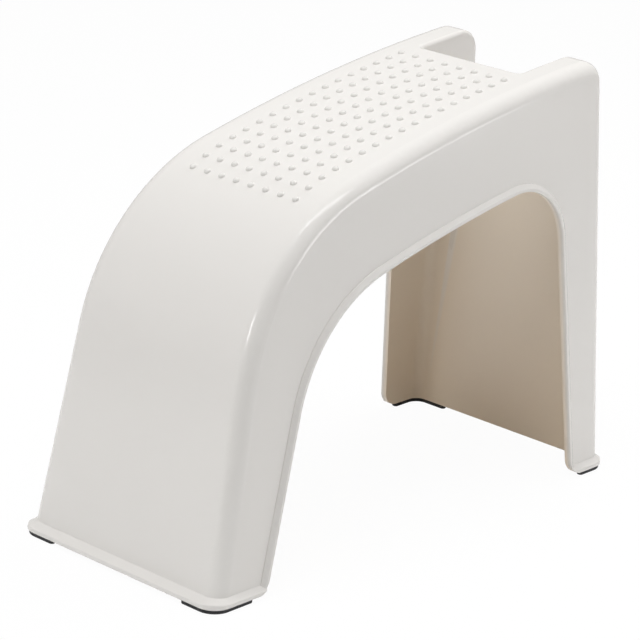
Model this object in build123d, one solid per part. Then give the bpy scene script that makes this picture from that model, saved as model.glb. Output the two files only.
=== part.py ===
from build123d import *
import os
from math import asin, cos, pi, radians, sin, sqrt, tan

# A one-piece moulded shower stool on four push-in foot pads.
# X runs across the stool, Y from the sloping front leg (-Y) to the upright rear leg (+Y), Z up.
# The origin is on the floor, under the middle of the stool. All lengths are in millimetres.

# Overall size at the floor, over the rim
length = 415.6
width = 194.0

# Shell
wall = 2.5
side_draft = 3.5  # degrees each side leans in towards the seat
edge_round = 11.0  # rounding where a side wall turns into the seat and legs

# Rim round the foot of the legs, to which the walls flare out
side_lip = 4.0  # how far the rim stands out from the sides and the rear
front_lip = 6.4
rim_height = 6.2  # from the rim's underside to the top of the flare
rim_slope = 3.2  # height of the flare
rim_corner = 22.0  # rounding of the flare at the stool's corners
rim_cove = 0.6  # rounding where the wall turns out into the flare
rim_round = 1.0  # rounding where the flare turns down into the rim's outer face
rim_edge = 0.8  # rounding of the rim's lower edge
foot_corner = 13.0  # rounding of a skirt's lower corner, seen from the side

# Narrow lip along both sides of the arch
arch_lip = 3.0  # how far it stands out from the side wall
arch_lip_edge = 2.4  # width of its outer face
arch_lip_flare = 3.2  # width of its sloping face
arch_lip_step = 0.6  # crease between the sloping face and the wall
arch_lip_round = 0.6  # rounding of its edge along the arch

# Outline of the top, seen from the side
leg_lean = 11.2  # degrees the front leg leans back
leg_straight = 151.5  # height at which the front leg starts to bend into the seat
front_bend = 151.0  # radius of that bend
seat_slope = 15.1  # degrees, where the bend meets the seat
seat_crown = 1380.0  # radius of the long crown of the seat
rear_lean = 1.2  # degrees the rear leg leans forward
rear_round = 17.0  # rounding of the top rear edge

# Arch between the legs, seen from the side
rail_depth = 70.5  # from the arch to the seat's crown, which it follows
front_skirt = 45.2  # depth of the front leg's side at the floor
front_skirt_lean = 15.7  # degrees
front_arch_round = 115.0
rear_skirt = 38.9
rear_skirt_lean = 4.75
rear_arch_round = 46.0

# Hand hold, a notch in the rear of the seat between two ears
notch_width = 95.0
notch_front = 133.1  # where the seat ends
notch_floor = 250.0
notch_low_round = 16.0  # lower corners, seen from the rear
notch_back_round = 4.0  # where the notch's front wall meets its sides
notch_edge = 3.0  # rounding of the edge along the seat
grip_depth = 20.0  # how far the seat's rear edge is turned down
grip_border = 7.0  # what is left of the notch's floor round the finger opening
grip_corner = 9.0

# Raised grip dots on the seat
dot_columns = 8
dot_rows = 17
column_pitch = 14.0
row_pitch = 13.46
dot_front = -95.1  # place of the front row along Y
dot_diameter = 5.4
dot_height = 2.2
dot_side = 0.8  # height of a dot's straight side, below its dome
dot_root = 0.6  # how deep a dot reaches into the seat

# Stiffening ribs under the seat
rib_thickness = 2.0
rib_depth = 12.0
cross_ribs = 4
cross_rib_first = -70.0
cross_rib_pitch = 56.0
long_rib_x = 27.0
rib_bite = 1.0  # how far a rib runs into the walls it joins

# Foot pads
pad_height = 3.0
pad_inset = 1.2  # from the rim's outer face
pad_width = 5.2
front_pad_across = 33.3  # reach of a front pad along the front, from the side
front_pad_along = 39.0  # and along the side, from the front
rear_pad_across = 34.0
rear_pad_along = 31.0
pad_edge = 0.8
peg_diameter = 2.6
peg_height = 2.8
peg_clearance = 0.1  # round the peg and above it
peg_from_end = 7.0

# Working margin for cutting tools that pass right through the stool
beyond = 60.0
touching = 0.01  # nearer than this counts as touching

low_centre = (Align.CENTER, Align.CENTER, Align.MIN)  # solids placed by the middle of their underside
lean = radians(leg_lean)
slope = radians(seat_slope)
tilt = radians(rear_lean)
draft = radians(side_draft)


def wall_foot(reach, lip, angle):
    """Where a leaning wall would meet the floor, so that the widest point of its rim is at reach."""
    widest = (pad_height + rim_edge) * tan(angle) - rim_edge * (1 / cos(angle) - 1)
    return reach - lip / cos(angle) + widest


front_foot = -wall_foot(length / 2, front_lip, lean)
rear_foot = wall_foot(length / 2, side_lip, tilt)
half_wall = wall_foot(width / 2, side_lip, draft)
plan_corner = edge_round + side_lip

# Centres of the two arcs of the top outline, as (y, z)
bend_start = (front_foot + leg_straight * tan(lean), leg_straight)
bend_centre = (bend_start[0] + front_bend * cos(lean), bend_start[1] - front_bend * sin(lean))
seat_start = (bend_centre[0] - front_bend * sin(slope), bend_centre[1] + front_bend * cos(slope))
crown_centre = (seat_start[0] + seat_crown * sin(slope), seat_start[1] - seat_crown * cos(slope))


def seat_height(y):
    """Height of the seat's crown at a place along Y."""
    return crown_centre[1] + sqrt(seat_crown**2 - (y - crown_centre[0]) ** 2)


def on_arc(centre, radius, angle):
    """Point of an arc where the outline climbs at the given angle."""
    return (centre[0] - radius * sin(angle), centre[1] + radius * cos(angle))


def rear_top(inset):
    """Corner where the crown, moved in by inset, meets the rear leg, moved in as much."""
    radius = seat_crown - inset
    foot = rear_foot - inset / cos(tilt) - crown_centre[0]
    a = 1 + tan(tilt) ** 2
    b = -2 * (foot * tan(tilt) + crown_centre[1])
    c = foot**2 + crown_centre[1] ** 2 - radius**2
    z = (-b + sqrt(b**2 - 4 * a * c)) / (2 * a)
    return (rear_foot - inset / cos(tilt) - z * tan(tilt), z)


def top_outline(inset, front_inset):
    """The stool seen from the side without its arch, moved in by inset."""
    bend = front_bend - inset
    crown = seat_crown - inset
    start = (bend_centre[0] - bend * cos(lean), bend_centre[1] + bend * sin(lean))
    foot_y = front_foot + front_inset / cos(lean)
    low = (foot_y - beyond * (start[0] - foot_y) / start[1], -beyond)
    joint = on_arc(bend_centre, bend, slope)
    corner = rear_top(inset)
    corner_angle = asin((crown_centre[0] - corner[0]) / crown)
    bend_middle = on_arc(bend_centre, bend, (pi / 2 - lean + slope) / 2)
    crown_middle = on_arc(crown_centre, crown, (slope + corner_angle) / 2)
    rear_low = (rear_foot - inset / cos(tilt) + beyond * tan(tilt), -beyond)
    edges = [
        Line(low, start),
        ThreePointArc(start, bend_middle, joint),
        ThreePointArc(joint, crown_middle, corner),
        Line(corner, rear_low),
        Line(rear_low, low),
    ]
    face = make_face(edges)
    top_rear = face.vertices().sort_by(Axis.X)[-2:].sort_by(Axis.Y)[-1]
    return fillet(top_rear, rear_round - inset)


def across(sketch):
    """Solid of a side-view sketch, run right through the stool along X."""
    return extrude(Plane.YZ * sketch, amount=width, both=True)


def notch_tool(inset):
    """The hand hold's space, made larger by inset."""
    half = notch_width / 2 + inset
    low = notch_floor - inset
    high = notch_floor + 2 * beyond
    outline = Polygon((-half, low), (half, low), (half, high), (-half, high), align=None)
    outline = fillet(outline.vertices().sort_by(Axis.Y)[:2], notch_low_round + inset)
    start = notch_front - inset
    tool = Plane.XZ * extrude(outline, amount=-(length / 2 + beyond - start))
    tool = Pos(0, start, 0) * tool
    back = tool.faces().sort_by(Axis.Y)[0]
    edges = [e for e in back.edges() if e.center().Z < high - 1]
    return fillet(edges, notch_back_round + inset)


def block(inset, front_inset):
    """Solid stool body moved in by inset all round, with its long edges rounded."""
    foot = half_wall - inset / cos(draft) + beyond * tan(draft)
    top_z = seat_height(rear_foot) + beyond
    top = foot - (top_z + beyond) * tan(draft)
    wedge = Polygon((-foot, -beyond), (foot, -beyond), (top, top_z), (-top, top_z), align=None)
    body = across(top_outline(inset, front_inset)) & extrude(Plane.XZ * wedge, amount=length, both=True)
    long_edges = [e for e in body.edges() if abs(e.center().X) > 1 and e.center().Z > -beyond + 1]
    return fillet(long_edges, edge_round - inset)


def edges_on(shape, *bodies):
    """Edges of a shape that lie on the skin of every one of some bodies."""
    skins = [body.shell() for body in bodies]
    found = []
    for edge in shape.edges():
        middle = Vertex(*edge.position_at(0.5))
        if all(skin.distance_to(middle) < touching for skin in skins):
            found.append(edge)
    return found


def notched(body, inset):
    """Cut the hand hold out of a body whose skin is moved in by inset, and round the cut's edge."""
    tool = notch_tool(inset)
    cut = body - tool
    return fillet(edges_on(cut, body, tool), notch_edge - inset)


def meet(p, p_angle, q, q_angle):
    """Point where two lines meet, each given by a point and its angle in radians."""
    dy = q[0] - p[0]
    dz = q[1] - p[1]
    det = sin(q_angle - p_angle)
    along = (dy * sin(q_angle) - dz * cos(q_angle)) / det
    return (p[0] + along * cos(p_angle), p[1] + along * sin(p_angle))


def arch(grow):
    """The arch between the legs, seen from the side, made larger by grow."""
    front_angle = pi / 2 - radians(front_skirt_lean)
    rear_angle = pi / 2 + radians(rear_skirt_lean)
    front = (front_foot + front_skirt - grow / sin(front_angle), 0)
    rear = (rear_foot - rear_skirt + grow / sin(rear_angle), 0)
    front_low = meet(front, front_angle, (0, -beyond), 0)
    rear_low = meet(rear, rear_angle, (0, -beyond), 0)
    front_high = meet(front, front_angle, (0, seat_height(rear_foot)), 0)
    rear_high = meet(rear, rear_angle, (0, seat_height(rear_foot)), 0)
    between = Polygon(front_low, front_high, rear_high, rear_low, align=None)
    outline = between & (Pos(*crown_centre) * Circle(seat_crown - rail_depth + grow))
    tops = outline.vertices().sort_by(Axis.Y)[-2:].sort_by(Axis.X)
    rear_place = tops[1].center()
    outline = fillet(tops[0], front_arch_round + grow)
    return fillet(outline.vertices().sort_by_distance(rear_place)[0], rear_arch_round + grow)


def above(z):
    """Side-view field above a height."""
    return Pos(0, z) * Rectangle(3 * length, 3 * length, align=(Align.CENTER, Align.MIN))


def with_low_corners(field, z, radius):
    """Round the corners that a side-view field has at its lower edge, next to the arch."""
    low = [v for v in field.vertices() if abs(v.Y - z) < touching and abs(v.X) < length]
    return fillet(low, radius)


def flare_reach(foot, lip, angle, z):
    """How far out the flare's slope is at a height: on the wall at its top, on the rim's face at its foot."""
    top = pad_height + rim_height
    inner = foot - top * tan(angle)
    outer = foot + lip / cos(angle) - (top - rim_slope) * tan(angle)
    return inner + (outer - inner) * (top - z) / rim_slope


def flare():
    """Block whose walls slope out through the foot of the shell's walls."""
    high = pad_height + rim_height + rim_cove
    front = [-flare_reach(-front_foot, front_lip, lean, z) for z in (0, high)]
    rear = [flare_reach(rear_foot, side_lip, tilt, z) for z in (0, high)]
    half = [flare_reach(half_wall, side_lip, draft, z) for z in (0, high)]
    side_view = Polygon((front[0], 0), (rear[0], 0), (rear[1], high), (front[1], high), align=None)
    end_view = Polygon((-half[0], 0), (half[0], 0), (half[1], high), (-half[1], high), align=None)
    body = across(side_view) & extrude(Plane.XZ * end_view, amount=length, both=True)
    corners = [e for e in body.edges() if abs((e @ 0).Z - (e @ 1).Z) > touching]
    return fillet(corners, rim_corner)


def footed_body(skin, rim_skin):
    """Solid body with the rim round its foot."""
    standing = across(above(pad_height))
    flared = flare()
    body = (skin & standing) + (flared & rim_skin & standing)
    body = fillet(edges_on(body, skin, flared), rim_cove)
    body = fillet(edges_on(body, flared, rim_skin), rim_round)
    return fillet(edges_on(body, standing, rim_skin), rim_edge)


def arch_band(legs):
    """Solid of the lip along the arch, which slopes out from the side walls."""
    outer = block(-arch_lip, -arch_lip)
    field = across(arch(arch_lip_edge + arch_lip_flare))
    band = outer & field
    for end in (0, -1):
        face = band.faces().sort_by(Axis.X)[end]
        edges = [e for e in face.edges() if e.center().Z > -beyond + 1]
        band = chamfer(edges, arch_lip_flare, arch_lip - arch_lip_step, reference=face)
    band = band & legs
    return fillet(edges_on(band, legs, outer), arch_lip_round)


def body_with_rim():
    """Solid body with its rim and lip, and the arch and hand hold cut out."""
    skin = block(0, 0)
    rim_skin = block(-side_lip, -front_lip)
    legs = across(with_low_corners(above(pad_height) - arch(0), pad_height, foot_corner))
    body = notched(footed_body(skin, rim_skin), 0) & legs
    return body + arch_band(legs)


def hollow():
    """Space inside the shell."""
    return notched(block(wall, wall), wall)


def finger_opening():
    """Opening in the hand hold's floor and under the turned-down edge of the seat."""
    half = notch_width / 2 - grip_border
    start = notch_front - 2 * wall
    end = rear_foot - notch_floor * tan(tilt) - wall - grip_border
    low = notch_floor - 2 * wall
    high = seat_height(notch_front) - grip_depth
    outline = RectangleRounded(2 * half, end - start, grip_corner)
    return Pos(0, (start + end) / 2, low) * extrude(outline, amount=high - low)


def ribs():
    """Stiffening ribs under the seat, from side to side and along it."""
    outer = wall - rib_bite
    inner = wall + rib_depth
    under = block(outer, outer) - across(top_outline(inner, inner))
    reach = notch_front - wall + rib_bite
    field = Box(width, length, length, align=(Align.CENTER, Align.MAX, Align.MIN))
    under = under & (Pos(0, reach, leg_straight) * field)
    plates = []
    for n in range(cross_ribs):
        plate = Pos(0, cross_rib_first + n * cross_rib_pitch, 0) * Box(width, rib_thickness, 2 * length)
        plates.append(under & plate)
    for x in (-long_rib_x, long_rib_x):
        plates.append(under & (Pos(x, 0, 0) * Box(rib_thickness, 2 * length, 2 * length)))
    return plates


def dot_places():
    """Planes on the seat's skin, one for each raised dot."""
    first = asin((bend_centre[0] - dot_front) / front_bend)
    bend_left = (first - slope) * front_bend
    planes = []
    for row in range(dot_rows):
        along = row * row_pitch
        if along < bend_left:
            angle = first - along / front_bend
            y, z = on_arc(bend_centre, front_bend, angle)
        else:
            angle = slope - (along - bend_left) / seat_crown
            y, z = on_arc(crown_centre, seat_crown, angle)
        for column in range(dot_columns):
            x = (column - (dot_columns - 1) / 2) * column_pitch
            planes.append(Plane((x, y, z), x_dir=(1, 0, 0), z_dir=(0, -sin(angle), cos(angle))))
    return planes


def dots():
    """Raised domed dots that keep a wet foot from slipping."""
    half = dot_diameter / 2
    cap = dot_height - dot_side
    radius = (half**2 + cap**2) / (2 * cap)
    post = Pos(0, 0, -dot_root) * Cylinder(half, dot_root + dot_height, align=low_centre)
    dome = post & (Pos(0, 0, dot_height - radius) * Sphere(radius))
    return [plane.location * dome for plane in dot_places()]


def pad_corner(side, end, across_reach, along_reach):
    """Outline of a foot pad under one corner of the rim, and the places of its pegs."""
    outer = RectangleRounded(width - 2 * pad_inset, length - 2 * pad_inset, plan_corner - pad_inset)
    inset = pad_inset + pad_width
    inner = RectangleRounded(width - 2 * inset, length - 2 * inset, plan_corner - inset)
    half = pad_width / 2
    middle_x = side * (width / 2 - pad_inset - half)
    middle_y = end * (length / 2 - pad_inset - half)
    end_x = side * (width / 2 - across_reach + half)
    end_y = end * (length / 2 - along_reach + half)
    x_place = (end_x + side * width) / 2
    y_place = (end_y + end * length) / 2
    corner = Pos(x_place, y_place) * Rectangle(abs(side * width - end_x), abs(end * length - end_y))
    rounds = Pos(end_x, middle_y) * Circle(half) + Pos(middle_x, end_y) * Circle(half)
    outline = ((outer - inner) & corner) + rounds
    pegs = [(end_x + side * peg_from_end, middle_y), (middle_x, end_y + end * peg_from_end)]
    return outline, pegs


def foot_pad(outline, pegs):
    """Rubber pad with pegs that push into the rim."""
    pad = extrude(outline, amount=pad_height)
    pad = fillet(pad.edges().group_by(Axis.Z)[0], pad_edge)
    for x, y in pegs:
        pad = pad + Pos(x, y, pad_height) * Cylinder(peg_diameter / 2, peg_height, align=low_centre)
    return pad


pads = {}
sockets = []
for name, side, end, across_reach, along_reach in (
    ("front_left_foot_pad", -1, -1, front_pad_across, front_pad_along),
    ("front_right_foot_pad", 1, -1, front_pad_across, front_pad_along),
    ("rear_left_foot_pad", -1, 1, rear_pad_across, rear_pad_along),
    ("rear_right_foot_pad", 1, 1, rear_pad_across, rear_pad_along),
):
    outline, pegs = pad_corner(side, end, across_reach, along_reach)
    pads[name] = foot_pad(outline, pegs)
    for x, y in pegs:
        depth = pad_height + peg_height + peg_clearance
        sockets.append(Pos(x, y, 0) * Cylinder(peg_diameter / 2 + peg_clearance, depth, align=low_centre))

shell = body_with_rim() - hollow() - finger_opening()
shell = shell + ribs()
shell = shell - sockets
shell = shell + dots()

os.makedirs("parts", exist_ok=True)
export_step(shell, "parts/seat_shell.step")
for name, pad in pads.items():
    export_step(pad, "parts/" + name + ".step")
print("shell", round(shell.volume), "mm3 in", len(shell.solids()), "solid", shell.bounding_box())
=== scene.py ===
# %% [markdown]
# # A moulded shower stool
# The stool is one glossy white moulding that stands on four black rubber pads. The solids come from the
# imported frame, in metres, with the origin on the floor under the middle of the stool, +Y towards the
# upright rear leg and +Z up. This script gives those solids their finish, a floor, light and a camera.

# %% Load the frame
import bmesh
import bpy
import math
import numpy as np
from mathutils import Matrix, Vector


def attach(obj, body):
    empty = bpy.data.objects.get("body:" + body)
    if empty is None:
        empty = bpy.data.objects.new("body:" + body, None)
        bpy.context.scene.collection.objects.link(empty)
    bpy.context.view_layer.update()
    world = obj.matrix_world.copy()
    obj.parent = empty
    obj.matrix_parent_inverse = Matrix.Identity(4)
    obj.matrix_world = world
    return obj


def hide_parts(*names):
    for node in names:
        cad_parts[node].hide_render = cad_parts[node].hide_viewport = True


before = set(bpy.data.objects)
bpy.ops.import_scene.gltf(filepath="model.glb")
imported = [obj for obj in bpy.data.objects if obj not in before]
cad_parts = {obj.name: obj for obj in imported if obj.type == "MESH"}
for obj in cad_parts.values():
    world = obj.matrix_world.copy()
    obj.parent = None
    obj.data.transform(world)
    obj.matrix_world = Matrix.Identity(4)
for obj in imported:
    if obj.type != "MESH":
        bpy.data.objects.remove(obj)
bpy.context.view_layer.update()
MM = 0.001
print("nodes:", sorted(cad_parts))

# %% [markdown]
# ## The line of the seat
# Seen from the side, the top of the stool is a leaning front leg, one large bend, a long shallow crown,
# a small rounding and an upright rear leg. The dots sit on this line and the skin's depth is measured
# from it, so it is worked out once here, from the same sizes as the solids. All of it is in millimetres.

# %% The side outline
LEAN, SLOPE, TILT, DRAFT = (math.radians(a) for a in (11.2, 15.1, 1.2, 3.5))
HALF_LENGTH, HALF_WIDTH, WALL = 207.8, 97.0, 2.5
FRONT_LIP, SIDE_LIP, RIM_EDGE, PAD_HEIGHT = 6.4, 4.0, 0.8, 3.0
LEG_STRAIGHT, BEND, CROWN, EDGE_ROUND, REAR_ROUND = 151.5, 151.0, 1380.0, 11.0, 17.0
NOTCH_HALF, NOTCH_FRONT, NOTCH_FLOOR = 47.5, 133.1, 250.0


def wall_foot(reach, lip, angle):
    """Where a leaning wall would meet the floor, so that the widest point of its rim is at reach."""
    widest = (PAD_HEIGHT + RIM_EDGE) * math.tan(angle) - RIM_EDGE * (1 / math.cos(angle) - 1)
    return reach - lip / math.cos(angle) + widest


FRONT_FOOT = -wall_foot(HALF_LENGTH, FRONT_LIP, LEAN)
REAR_FOOT = wall_foot(HALF_LENGTH, SIDE_LIP, TILT)
SIDE_FOOT = wall_foot(HALF_WIDTH, SIDE_LIP, DRAFT)
BEND_Y = FRONT_FOOT + LEG_STRAIGHT * math.tan(LEAN) + BEND * math.cos(LEAN)
BEND_Z = LEG_STRAIGHT - BEND * math.sin(LEAN)
CROWN_Y = BEND_Y + (CROWN - BEND) * math.sin(SLOPE)
CROWN_Z = BEND_Z - (CROWN - BEND) * math.cos(SLOPE)
print("bend centre", round(BEND_Y, 1), round(BEND_Z, 1))
print("crown centre", round(CROWN_Y, 1), round(CROWN_Z, 1))

# %% [markdown]
# Where two faces meet in a rounding, the depth below the skin is measured from the rounding's own centre.
# The same rule serves the rounding at the top of the rear leg and the long rounded edges at the sides.


# %% Depth below the skin
def rounded_depth(first, second, radius):
    """Depth below two faces that meet in a rounding."""
    if max(first, second) < radius:
        return radius - math.hypot(radius - first, radius - second)
    return min(first, second)


def under_outline(y, z):
    """How deep a place is below the seat's line, 0 on it, less than 0 above it."""
    on_leg = (y - FRONT_FOOT) * math.cos(LEAN) - z * math.sin(LEAN)
    on_bend = BEND - math.hypot(y - BEND_Y, z - BEND_Z)
    on_crown = CROWN - math.hypot(y - CROWN_Y, z - CROWN_Z)
    on_rear = (REAR_FOOT - y) * math.cos(TILT) - z * math.sin(TILT)
    angle = math.atan2(BEND_Y - y, z - BEND_Z)
    top = on_crown if angle < SLOPE else on_bend if angle < math.pi / 2 - LEAN else on_leg
    return rounded_depth(top, on_rear, REAR_ROUND)


def depth_below_skin(place):
    """How deep a place of the mesh is below the outer skin, in millimetres."""
    x, y, z = (v / MM for v in place)
    side = (SIDE_FOOT - abs(x)) * math.cos(DRAFT) - z * math.sin(DRAFT)
    depth = rounded_depth(side, under_outline(y, z), EDGE_ROUND)
    to_notch = (max(abs(x) - NOTCH_HALF, 0), max(NOTCH_FRONT - y, 0), max(NOTCH_FLOOR - z, 0))
    return min(depth, math.hypot(*to_notch))


SEAT_MIDDLE = (0, 0, CROWN_Z + math.sqrt(CROWN ** 2 - CROWN_Y ** 2))
print("seat height at the origin (mm):", round(SEAT_MIDDLE[2], 1))
print("depth of the skin there:", round(depth_below_skin([v * MM for v in SEAT_MIDDLE]), 3))

# %% [markdown]
# ## Surface variation
# No moulded surface is one flat colour. The plastic and the rubber share one node group that gives a slow
# drift of tone, a patchy gloss from handling and cleaning, and a fine skin for the bump. Each material
# feeds it its own scales, so the two never look alike.

# %% The shared node group
# what the group puts out, with the default scale and the detail of the noise behind it
VARIATIONS = {"Tone": (9.0, 3.0), "Gloss": (40.0, 6.0), "Skin": (900.0, 2.0)}


def surface_variation_group():
    group = bpy.data.node_groups.new("moulded_surface", "ShaderNodeTree")
    face = group.interface
    nodes, links = group.nodes, group.links
    face.new_socket("Vector", in_out="INPUT", socket_type="NodeSocketVector")
    for name, (scale, _) in VARIATIONS.items():
        socket = face.new_socket(name + " Scale", in_out="INPUT", socket_type="NodeSocketFloat")
        socket.default_value = scale
        face.new_socket(name, in_out="OUTPUT", socket_type="NodeSocketFloat")
    entry = nodes.new("NodeGroupInput")
    leave = nodes.new("NodeGroupOutput")
    for name, (_, detail) in VARIATIONS.items():
        noise = nodes.new("ShaderNodeTexNoise")
        noise.inputs["Detail"].default_value = detail
        links.new(entry.outputs["Vector"], noise.inputs["Vector"])
        links.new(entry.outputs[name + " Scale"], noise.inputs["Scale"])
        links.new(noise.outputs["Fac"], leave.inputs[name])
    return group


SURFACE = surface_variation_group()
print("group", SURFACE.name, "with", len(SURFACE.nodes), "nodes")

# %% [markdown]
# ## A helper for materials
# Both materials start in the same way: a Principled shader, the shared group on Object coordinates, a blend
# of two close colours by the group's tone, a narrow range of roughness, and a faint bump.

# %% Material helper
NOISE_RANGE = (0.3, 0.7)  # where most of a noise's values lie
SKIN_DEPTH = 0.1 * MM


def map_range(nodes, given, wanted):
    """A node that maps one range of values to another."""
    node = nodes.new("ShaderNodeMapRange")
    node.inputs["From Min"].default_value, node.inputs["From Max"].default_value = given
    node.inputs["To Min"].default_value, node.inputs["To Max"].default_value = wanted
    return node


def colour_mix(nodes, first, second):
    """A node that blends two colours."""
    node = nodes.new("ShaderNodeMix")
    node.data_type = "RGBA"
    node.inputs["A"].default_value = (*first, 1)
    node.inputs["B"].default_value = (*second, 1)
    return node


def moulded_material(name, dark, light, rough, scales, bump):
    material = bpy.data.materials.new(name)
    material.use_nodes = True
    nodes, links = material.node_tree.nodes, material.node_tree.links
    shader = nodes["Principled BSDF"]
    place = nodes.new("ShaderNodeTexCoord")
    surface = nodes.new("ShaderNodeGroup")
    surface.node_tree = SURFACE
    links.new(place.outputs["Object"], surface.inputs["Vector"])
    for variation, scale in zip(VARIATIONS, scales):
        surface.inputs[variation + " Scale"].default_value = scale
    tone = colour_mix(nodes, dark, light)
    links.new(surface.outputs["Tone"], tone.inputs["Factor"])
    links.new(tone.outputs["Result"], shader.inputs["Base Color"])
    gloss = map_range(nodes, NOISE_RANGE, rough)
    links.new(surface.outputs["Gloss"], gloss.inputs["Value"])
    links.new(gloss.outputs["Result"], shader.inputs["Roughness"])
    skin = nodes.new("ShaderNodeBump")
    skin.inputs["Strength"].default_value = bump
    skin.inputs["Distance"].default_value = SKIN_DEPTH
    links.new(surface.outputs["Skin"], skin.inputs["Height"])
    links.new(skin.outputs["Normal"], shader.inputs["Normal"])
    return material


PLASTIC = moulded_material(
    "gloss_white_plastic", dark=(0.792, 0.768, 0.738), light=(0.808, 0.784, 0.754),
    rough=(0.10, 0.14), scales=(7.0, 30.0, 500.0), bump=0.04)
PLASTIC.node_tree.nodes["Principled BSDF"].inputs["IOR"].default_value = 1.49
RUBBER = moulded_material(
    "black_rubber", dark=(0.014, 0.014, 0.016), light=(0.03, 0.03, 0.033),
    rough=(0.5, 0.7), scales=(60.0, 200.0, 2500.0), bump=0.4)
print("materials:", PLASTIC.name, RUBBER.name)

# %% [markdown]
# ## The inner side of the shell
# Where the shell's own attribute "inside" is 1, the plastic gets a painted shade: a warmer base colour that
# stands in for light bouncing between the warm white walls and shining through them. It is deepest near the
# floor and paler under the seat. The mould's core leaves a duller face than its polished outer half, so it
# is rougher.

# %% Painted warm shade and duller finish inside
# painted shade: warmer base colours for the inner side, standing in for light bouncing between the walls
# and shining through them
PAINTED_SHADE_LOW, PAINTED_SHADE_HIGH = (0.85, 0.73, 0.585), (0.83, 0.75, 0.645)
PAINTED_SHADE_HEIGHTS = (20 * MM, 250 * MM)  # from the low tint to the high one
INSIDE_ROUGH = 0.45


def painted_inner_shade_and_dull(material):
    """Blend a material's colour to the inner side's painted warm shade, and its roughness to the duller
    inner finish.
    """
    nodes, links = material.node_tree.nodes, material.node_tree.links
    shader = nodes["Principled BSDF"]
    inside = nodes.new("ShaderNodeAttribute")
    inside.attribute_name = "inside"
    place = nodes.new("ShaderNodeTexCoord")
    height = nodes.new("ShaderNodeSeparateXYZ")
    links.new(place.outputs["Object"], height.inputs["Vector"])
    climb = map_range(nodes, PAINTED_SHADE_HEIGHTS, (0, 1))
    links.new(height.outputs["Z"], climb.inputs["Value"])
    tint = colour_mix(nodes, PAINTED_SHADE_LOW, PAINTED_SHADE_HIGH)
    links.new(climb.outputs["Result"], tint.inputs["Factor"])
    painted_shade = nodes.new("ShaderNodeMix")
    painted_shade.data_type = "RGBA"
    links.new(tint.outputs["Result"], painted_shade.inputs["B"])
    dull = nodes.new("ShaderNodeMix")
    dull.inputs["B"].default_value = INSIDE_ROUGH
    for mix, socket in ((painted_shade, shader.inputs["Base Color"]), (dull, shader.inputs["Roughness"])):
        links.new(inside.outputs["Fac"], mix.inputs["Factor"])
        links.new(socket.links[0].from_socket, mix.inputs["A"])
        links.new(mix.outputs["Result"], socket)


painted_inner_shade_and_dull(PLASTIC)
print(PLASTIC.name, "has", len(PLASTIC.node_tree.nodes), "nodes")

# %% [markdown]
# ## The shell
# The imported mesh already has the right shape and the true normals of its curved faces. A copy of it is
# merged into one skin, its dots are taken off so that clean ones can be set there, and it gets an
# attribute that is 1 on the inner side of the wall, where the plastic gets its painted warm shade.

# %% Copy and merge the shell
MERGE_WITHIN = 0.001 * MM


def merged_copy(node):
    """Joined copy of a node's mesh, with the node's own corner normals kept."""
    source = node.data
    corner = np.zeros(len(source.loops) * 3, np.float32)
    source.corner_normals.foreach_get("vector", corner)
    mesh = bmesh.new()
    mesh.from_mesh(source)
    kept = mesh.loops.layers.float_vector.new("packed_normal")
    loops = (loop for face in mesh.faces for loop in face.loops)
    for loop, normal in zip(loops, corner.reshape(-1, 3)):
        loop[kept] = normal
    bmesh.ops.remove_doubles(mesh, verts=mesh.verts, dist=MERGE_WITHIN)
    return mesh


shell_mesh = merged_copy(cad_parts["seat_shell"])
print("merged shell:", len(shell_mesh.verts), "points,", len(shell_mesh.faces), "faces")

# %% [markdown]
# A face belongs to a dot when it stands above the skin on the middle of the seat. Taking those faces off
# leaves round holes, and each is closed with one flat face.

# %% Take the dots off
DOT_CLEARANCE = 0.05  # how far above the skin a dot's faces begin
DOT_FIELD_HALF = 60.0  # nothing beyond this width is a dot


def on_a_dot(face):
    middle = face.calc_center_median()
    on_seat = middle.z > LEG_STRAIGHT * MM and abs(middle.x) < DOT_FIELD_HALF * MM
    return on_seat and depth_below_skin(middle) < -DOT_CLEARANCE


raised = [face for face in shell_mesh.faces if on_a_dot(face)]
bmesh.ops.delete(shell_mesh, geom=raised, context="FACES")
open_edges = [edge for edge in shell_mesh.edges if edge.is_boundary]
patched = bmesh.ops.holes_fill(shell_mesh, edges=open_edges, sides=0)["faces"]
kept = shell_mesh.loops.layers.float_vector["packed_normal"]
for face in patched:
    face.normal_update()
    for loop in face.loops:
        loop[kept] = face.normal
print("dots taken off:", len(patched), "places closed,", len(raised), "faces removed")

# %% [markdown]
# The attribute "inside" rises from 0 to 1 through the thickness of the wall, so that the cut edges of the
# wall blend from the outer tone to the painted inner shade. The finished skin then stands in for the
# imported shell.

# %% Mark the inner side and finish the shell
INSIDE_FROM, INSIDE_TO = 0.2 * WALL, 0.9 * WALL


def smooth_step(value, low, high):
    share = min(max((value - low) / (high - low), 0), 1)
    return share * share * (3 - 2 * share)


def finish_mesh(mesh, name, material):
    """Write a merged copy out as a smooth object at the origin."""
    data = bpy.data.meshes.new(name)
    mesh.to_mesh(data)
    mesh.free()
    data.polygons.foreach_set("use_smooth", [True] * len(data.polygons))
    vectors = np.zeros(len(data.loops) * 3, np.float32)
    data.attributes["packed_normal"].data.foreach_get("vector", vectors)
    data.attributes.remove(data.attributes["packed_normal"])
    data.materials.clear()
    data.materials.append(material)
    data.normals_split_custom_set(vectors.reshape(-1, 3).tolist())
    piece = bpy.data.objects.new(name, data)
    bpy.context.scene.collection.objects.link(piece)
    return piece


within = shell_mesh.verts.layers.float.new("inside")
for vert in shell_mesh.verts:
    vert[within] = smooth_step(depth_below_skin(vert.co), INSIDE_FROM, INSIDE_TO)
shell = finish_mesh(shell_mesh, "shell_skin", PLASTIC)
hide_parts("seat_shell")
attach(shell, "root")
print("shell:", len(shell.data.vertices), "points,", len(shell.data.polygons), "faces")

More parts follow.
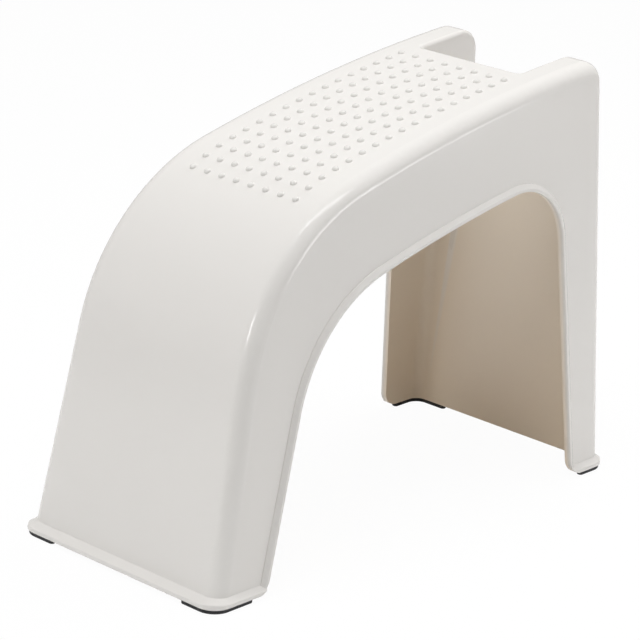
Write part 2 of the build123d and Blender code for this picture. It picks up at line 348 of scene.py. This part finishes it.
# %% [markdown]
# ## The grip dots
# Real dots are cut into the mould as rows of small round hollows, so the plastic fills them as low domes
# that stand square to the seat. A Geometry Nodes tree does the same: a flat grid of points is rolled onto
# the bend and then onto the crown, and each point carries one half of a flattened ball, turned to stand
# square to the line. The sizes are inputs of the tree, so the field can be changed without new geometry.

# %% Grip dot sizes
DOT_COLUMNS, DOT_ROWS = 8, 17
DOT_FRONT = -95.1  # place of the front row along Y
DOTS = {
    "Column Pitch": 14.0 * MM, "Row Pitch": 13.46 * MM,
    "Bend Radius": BEND * MM, "Bend Y": BEND_Y * MM, "Bend Z": BEND_Z * MM,
    "Crown Radius": CROWN * MM, "Crown Y": CROWN_Y * MM, "Crown Z": CROWN_Z * MM,
    "First Angle": math.asin((BEND_Y - DOT_FRONT) / BEND), "Slope": SLOPE,
    "Dot Radius": 2.65 * MM, "Dot Height": 2.0 * MM,
}
BALL_SEGMENTS, BALL_RINGS = 12, 6
BALL_CUT = -0.1  # the ball is kept above this share of its radius
print("dot field:", DOT_COLUMNS, "columns,", DOT_ROWS, "rows")


# %% [markdown]
# Small helpers keep the tree short: they add a sum, any node with its inputs given by name, or the three
# parts of a point's place. The tree first lays the points, then stands a half ball on each.


# %% The tree that lays the dots
def dot_tree():
    tree = bpy.data.node_groups.new("grip_dots", "GeometryNodeTree")
    tree.interface.new_socket("Geometry", in_out="OUTPUT", socket_type="NodeSocketGeometry")
    for name in ("Columns", "Rows"):
        tree.interface.new_socket(name, in_out="INPUT", socket_type="NodeSocketInt")
    for name in DOTS:
        tree.interface.new_socket(name, in_out="INPUT", socket_type="NodeSocketFloat")
    tree.interface.new_socket("Finish", in_out="INPUT", socket_type="NodeSocketMaterial")
    nodes, links = tree.nodes, tree.links
    sizes = nodes.new("NodeGroupInput").outputs

    def fill(socket, value):
        if isinstance(value, bpy.types.NodeSocket):
            links.new(value, socket)
        else:
            socket.default_value = value

    def maths(operation, *values):
        node = nodes.new("ShaderNodeMath")
        node.operation = operation
        for socket, value in zip(node.inputs, values):
            fill(socket, value)
        return node.outputs[0]

    def linked(kind, **inputs):
        node = nodes.new(kind)
        for name, value in inputs.items():
            fill(node.inputs[name.replace("_", " ")], value)
        return node

    def position():
        place = nodes.new("GeometryNodeInputPosition").outputs[0]
        return linked("ShaderNodeSeparateXYZ", Vector=place).outputs

    long_side = maths("MULTIPLY", maths("SUBTRACT", sizes["Rows"], 1), sizes["Row Pitch"])
    wide_side = maths("MULTIPLY", maths("SUBTRACT", sizes["Columns"], 1), sizes["Column Pitch"])
    grid = linked("GeometryNodeMeshGrid", Size_X=wide_side, Size_Y=long_side,
                  Vertices_X=sizes["Columns"], Vertices_Y=sizes["Rows"])
    flat = position()
    along = maths("ADD", flat["Y"], maths("MULTIPLY", long_side, 0.5))
    bend_turn = maths("SUBTRACT", sizes["First Angle"], sizes["Slope"])
    bend_left = maths("MULTIPLY", bend_turn, sizes["Bend Radius"])
    past_bend = maths("SUBTRACT", along, bend_left)
    on_bend = maths("LESS_THAN", along, bend_left)
    on_bend_by = maths("DIVIDE", along, sizes["Bend Radius"])
    on_crown_by = maths("DIVIDE", past_bend, sizes["Crown Radius"])

    def either(bend, crown):
        """The bend's value where a point is on the bend, otherwise the crown's."""
        return linked("ShaderNodeMix", Factor=on_bend, A=crown, B=bend).outputs["Result"]

    angle = either(maths("SUBTRACT", sizes["First Angle"], on_bend_by),
                   maths("SUBTRACT", sizes["Slope"], on_crown_by))
    radius = either(sizes["Bend Radius"], sizes["Crown Radius"])
    centre_y = either(sizes["Bend Y"], sizes["Crown Y"])
    centre_z = either(sizes["Bend Z"], sizes["Crown Z"])
    y = maths("SUBTRACT", centre_y, maths("MULTIPLY", radius, maths("SINE", angle)))
    z = maths("ADD", centre_z, maths("MULTIPLY", radius, maths("COSINE", angle)))
    turned = nodes.new("GeometryNodeCaptureAttribute")
    turned.capture_items.new("FLOAT", "Angle")
    links.new(grid.outputs["Mesh"], turned.inputs["Geometry"])
    links.new(angle, turned.inputs["Angle"])
    rolled = linked("ShaderNodeCombineXYZ", X=flat["X"], Y=y, Z=z).outputs[0]
    points = linked("GeometryNodeSetPosition", Geometry=turned.outputs["Geometry"], Position=rolled)

    ball = linked("GeometryNodeMeshUVSphere", Segments=BALL_SEGMENTS, Rings=BALL_RINGS, Radius=1.0)
    half = linked("GeometryNodeDeleteGeometry", Geometry=ball.outputs["Mesh"],
                  Selection=maths("LESS_THAN", position()["Z"], BALL_CUT))
    squash = linked("ShaderNodeCombineXYZ", X=sizes["Dot Radius"], Y=sizes["Dot Radius"],
                    Z=sizes["Dot Height"])
    stand = linked("ShaderNodeCombineXYZ", X=turned.outputs["Angle"])
    placed = linked("GeometryNodeInstanceOnPoints", Points=points.outputs[0], Instance=half.outputs[0],
                    Rotation=stand.outputs[0], Scale=squash.outputs[0])
    solid = linked("GeometryNodeRealizeInstances", Geometry=placed.outputs[0])
    smooth = linked("GeometryNodeSetShadeSmooth", Geometry=solid.outputs[0])
    finished = linked("GeometryNodeSetMaterial", Geometry=smooth.outputs[0], Material=sizes["Finish"])
    links.new(finished.outputs[0], nodes.new("NodeGroupOutput").inputs["Geometry"])
    print("tree", tree.name, "with", len(nodes), "nodes")
    return tree


# %% [markdown]
# The tree is run once on an empty object. What it makes is kept as a plain mesh, and the empty object goes.


# %% Lay the dots
def laid_out(name, tree, values):
    """Plain mesh object of what a tree makes."""
    holder = bpy.data.objects.new(name, bpy.data.meshes.new(name + "_start"))
    bpy.context.scene.collection.objects.link(holder)
    modifier = holder.modifiers.new("layout", "NODES")
    modifier.node_group = tree
    for item in tree.interface.items_tree:
        if item.in_out == "INPUT":
            modifier[item.identifier] = values[item.name]
    evaluated = holder.evaluated_get(bpy.context.evaluated_depsgraph_get())
    data = bpy.data.meshes.new_from_object(evaluated)
    bpy.data.objects.remove(holder)
    data.name = name
    piece = bpy.data.objects.new(name, data)
    bpy.context.scene.collection.objects.link(piece)
    return piece


FIELD = DOTS | {"Columns": DOT_COLUMNS, "Rows": DOT_ROWS, "Finish": PLASTIC}
dots = laid_out("grip_dots", dot_tree(), FIELD)
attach(dots, "root")
print("dots:", len(dots.data.polygons), "faces,", DOT_COLUMNS * DOT_ROWS, "dots")

# %% [markdown]
# ## The pads
# The four pads are used as they are packed, and only get the rubber.

# %% Rubber on the pads
pads = [node for name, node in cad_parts.items() if name.endswith("foot_pad")]
for pad in pads:
    pad.data.materials.clear()
    pad.data.materials.append(RUBBER)
print("pads:", len(pads))

# %% [markdown]
# ## The floor
# The camera sees the floor as nearly plain white, as in a studio picture. A small share of a matt white is
# left in it, and that share takes the stool's soft shadow.


# %% Floor
def seen_directly(nodes):
    """1 for rays that come straight from the camera, 0 for the rest."""
    return nodes.new("ShaderNodeLightPath").outputs["Is Camera Ray"]


FLOOR_WHITE = 0.96  # share of plain white in what the camera sees of the floor
FLOOR_MATT = (0.93, 0.93, 0.93, 1)
FLOOR_REACH = 6.0
floor_material = bpy.data.materials.new("pale_floor")
floor_material.use_nodes = True
nodes, links = floor_material.node_tree.nodes, floor_material.node_tree.links
nodes.remove(nodes["Principled BSDF"])
matt = nodes.new("ShaderNodeBsdfDiffuse")
matt.inputs["Color"].default_value = FLOOR_MATT
white = nodes.new("ShaderNodeEmission")
share = nodes.new("ShaderNodeMath")
share.operation = "MULTIPLY"
share.inputs[1].default_value = FLOOR_WHITE
links.new(seen_directly(nodes), share.inputs[0])
blend = nodes.new("ShaderNodeMixShader")
links.new(share.outputs[0], blend.inputs["Fac"])
links.new(matt.outputs[0], blend.inputs[1])
links.new(white.outputs[0], blend.inputs[2])
links.new(blend.outputs[0], nodes["Material Output"].inputs["Surface"])
corners = [(x * FLOOR_REACH, y * FLOOR_REACH, 0) for x, y in ((-1, -1), (1, -1), (1, 1), (-1, 1))]
floor_data = bpy.data.meshes.new("floor")
floor_data.from_pydata(corners, [], [(0, 1, 2, 3)])
floor_data.materials.append(floor_material)
floor = bpy.data.objects.new("floor", floor_data)
bpy.context.scene.collection.objects.link(floor)
print("floor:", 2 * FLOOR_REACH, "m square")

# %% [markdown]
# ## The room
# The camera sees plain white all round. What the plastic mirrors, and what lights it from all sides, is a
# grey room that gets darker towards the photographer.

# %% World
DARK_SIDE = (0.68, -0.70, 0.21)  # towards the unlit side of the studio, where the photographer stands
DARK_FROM_TO = (0.1, 0.95)  # how squarely a ray points that way
ROOM_LIGHT = (0.38, 0.12)  # strength away from the dark side and on it
ROOM_TINT = (1, 0.965, 0.945, 1)
world = bpy.data.worlds.new("studio")
bpy.context.scene.world = world
world.use_nodes = True
nodes, links = world.node_tree.nodes, world.node_tree.links
ambient = nodes["Background"]
ambient.inputs["Color"].default_value = ROOM_TINT
ray = nodes.new("ShaderNodeTexCoord")
facing = nodes.new("ShaderNodeVectorMath")
facing.operation = "DOT_PRODUCT"
facing.inputs[1].default_value = DARK_SIDE
links.new(ray.outputs["Generated"], facing.inputs[0])
strength = map_range(nodes, DARK_FROM_TO, ROOM_LIGHT)
links.new(facing.outputs["Value"], strength.inputs["Value"])
links.new(strength.outputs["Result"], ambient.inputs["Strength"])
backdrop = nodes.new("ShaderNodeBackground")
backdrop.inputs["Color"].default_value = (1, 1, 1, 1)
blend = nodes.new("ShaderNodeMixShader")
links.new(seen_directly(nodes), blend.inputs["Fac"])
links.new(ambient.outputs[0], blend.inputs[1])
links.new(backdrop.outputs[0], blend.inputs[2])
links.new(blend.outputs[0], nodes["World Output"].inputs["Surface"])
print("world:", world.name, "with", len(nodes), "nodes")

# %% [markdown]
# ## Lamps
# Four soft lamps shape the stool: a key behind it for the seat, a large one overhead, a weak one low in
# front and one low behind the right side. They give light only and aren't mirrored in the plastic.


# %% Soft lamps
def softbox(name, place, aim, size, power, tint=(1, 1, 1)):
    """Area lamp that faces a point."""
    lamp = bpy.data.lights.new(name, "AREA")
    lamp.color = tint
    lamp.shape = "RECTANGLE"
    lamp.size, lamp.size_y = size
    lamp.energy = power
    holder = bpy.data.objects.new(name, lamp)
    holder.location = place
    holder.rotation_euler = (Vector(aim) - Vector(place)).to_track_quat("-Z", "Y").to_euler()
    bpy.context.scene.collection.objects.link(holder)
    return holder


DAYLIGHT = (0.97, 0.99, 1.0)
soft_lamps = (
    softbox("key", place=(0.15, 1.0, 1.35), aim=(0, 0, 0.25), size=(1.6, 1.0), power=12.0, tint=DAYLIGHT),
    softbox("overhead", place=(0.1, -0.65, 2.0), aim=(0, -0.1, 0.2), size=(1.2, 1.2), power=27.0,
            tint=DAYLIGHT),
    softbox("front", place=(-0.5, -1.3, 0.25), aim=(0, -0.2, 0.0), size=(0.8, 0.4), power=1.4),
    softbox("side", place=(1.4, 1.25, 0.25), aim=(0.08, 0, 0.1), size=(0.7, 0.4), power=3.4),
)
for lamp in soft_lamps:
    lamp.visible_glossy = False
print("soft lamps:", [lamp.name for lamp in soft_lamps])

# %% [markdown]
# ## Strips
# The photo's thin bright lines along the rounded edges are strip lights mirrored in the gloss. Three strips
# stand where those lines point to: one slanting overhead, one low behind the right side, one in front. They
# only show in reflections.

# %% Strip lamps
TOP_STRIP_TURN = math.radians(-55)
top_strip = softbox(
    "top_strip", place=(0.55, 0.02, 1.75), aim=(0.07, -0.08, 0.26), size=(1.4, 0.3), power=5.0)
top_strip.rotation_euler.rotate_axis("Z", TOP_STRIP_TURN)
low_strip = softbox(
    "low_strip", place=(1.28, 0.99, 0.143), aim=(0.08, -0.06, 0.255), size=(0.6, 0.26), power=2.2)
front_strip = softbox(
    "front_strip", place=(0.03, -1.55, 0.87), aim=(0.075, -0.16, 0.186), size=(0.25, 0.4), power=3.0)
strips = (top_strip, low_strip, front_strip)
for strip in strips:
    strip.visible_diffuse = False
print("strips:", [strip.name for strip in strips])

# %% [markdown]
# ## Camera
# The stool is seen from the right of its front leg and from a little above, through a long lens. The
# picture is turned a little about the line of sight.

# %% Camera
AZIMUTH, ELEVATION, ROLL = (math.radians(a) for a in (42.755, 19.138, 2.621))
CAMERA_PLACE = (1.3817, -1.5075, 0.84532)
back = Vector((math.sin(AZIMUTH) * math.cos(ELEVATION),
               -math.cos(AZIMUTH) * math.cos(ELEVATION),
               math.sin(ELEVATION)))
right = Vector((math.cos(AZIMUTH), math.sin(AZIMUTH), 0))
up = back.cross(right)
camera_right = right * math.cos(ROLL) + up * math.sin(ROLL)
camera_up = up * math.cos(ROLL) - right * math.sin(ROLL)
turn = Matrix((camera_right, camera_up, back)).transposed().to_4x4()
lens = bpy.data.cameras.new("camera")
lens.lens = 171.5
lens.sensor_width = 36.0
camera = bpy.data.objects.new("camera", lens)
camera.matrix_world = Matrix.Translation(CAMERA_PLACE) @ turn
bpy.context.scene.collection.objects.link(camera)
bpy.context.scene.camera = camera
bpy.context.scene.view_settings.view_transform = "Standard"
print("camera distance (m):", round(Vector(CAMERA_PLACE).length, 3))
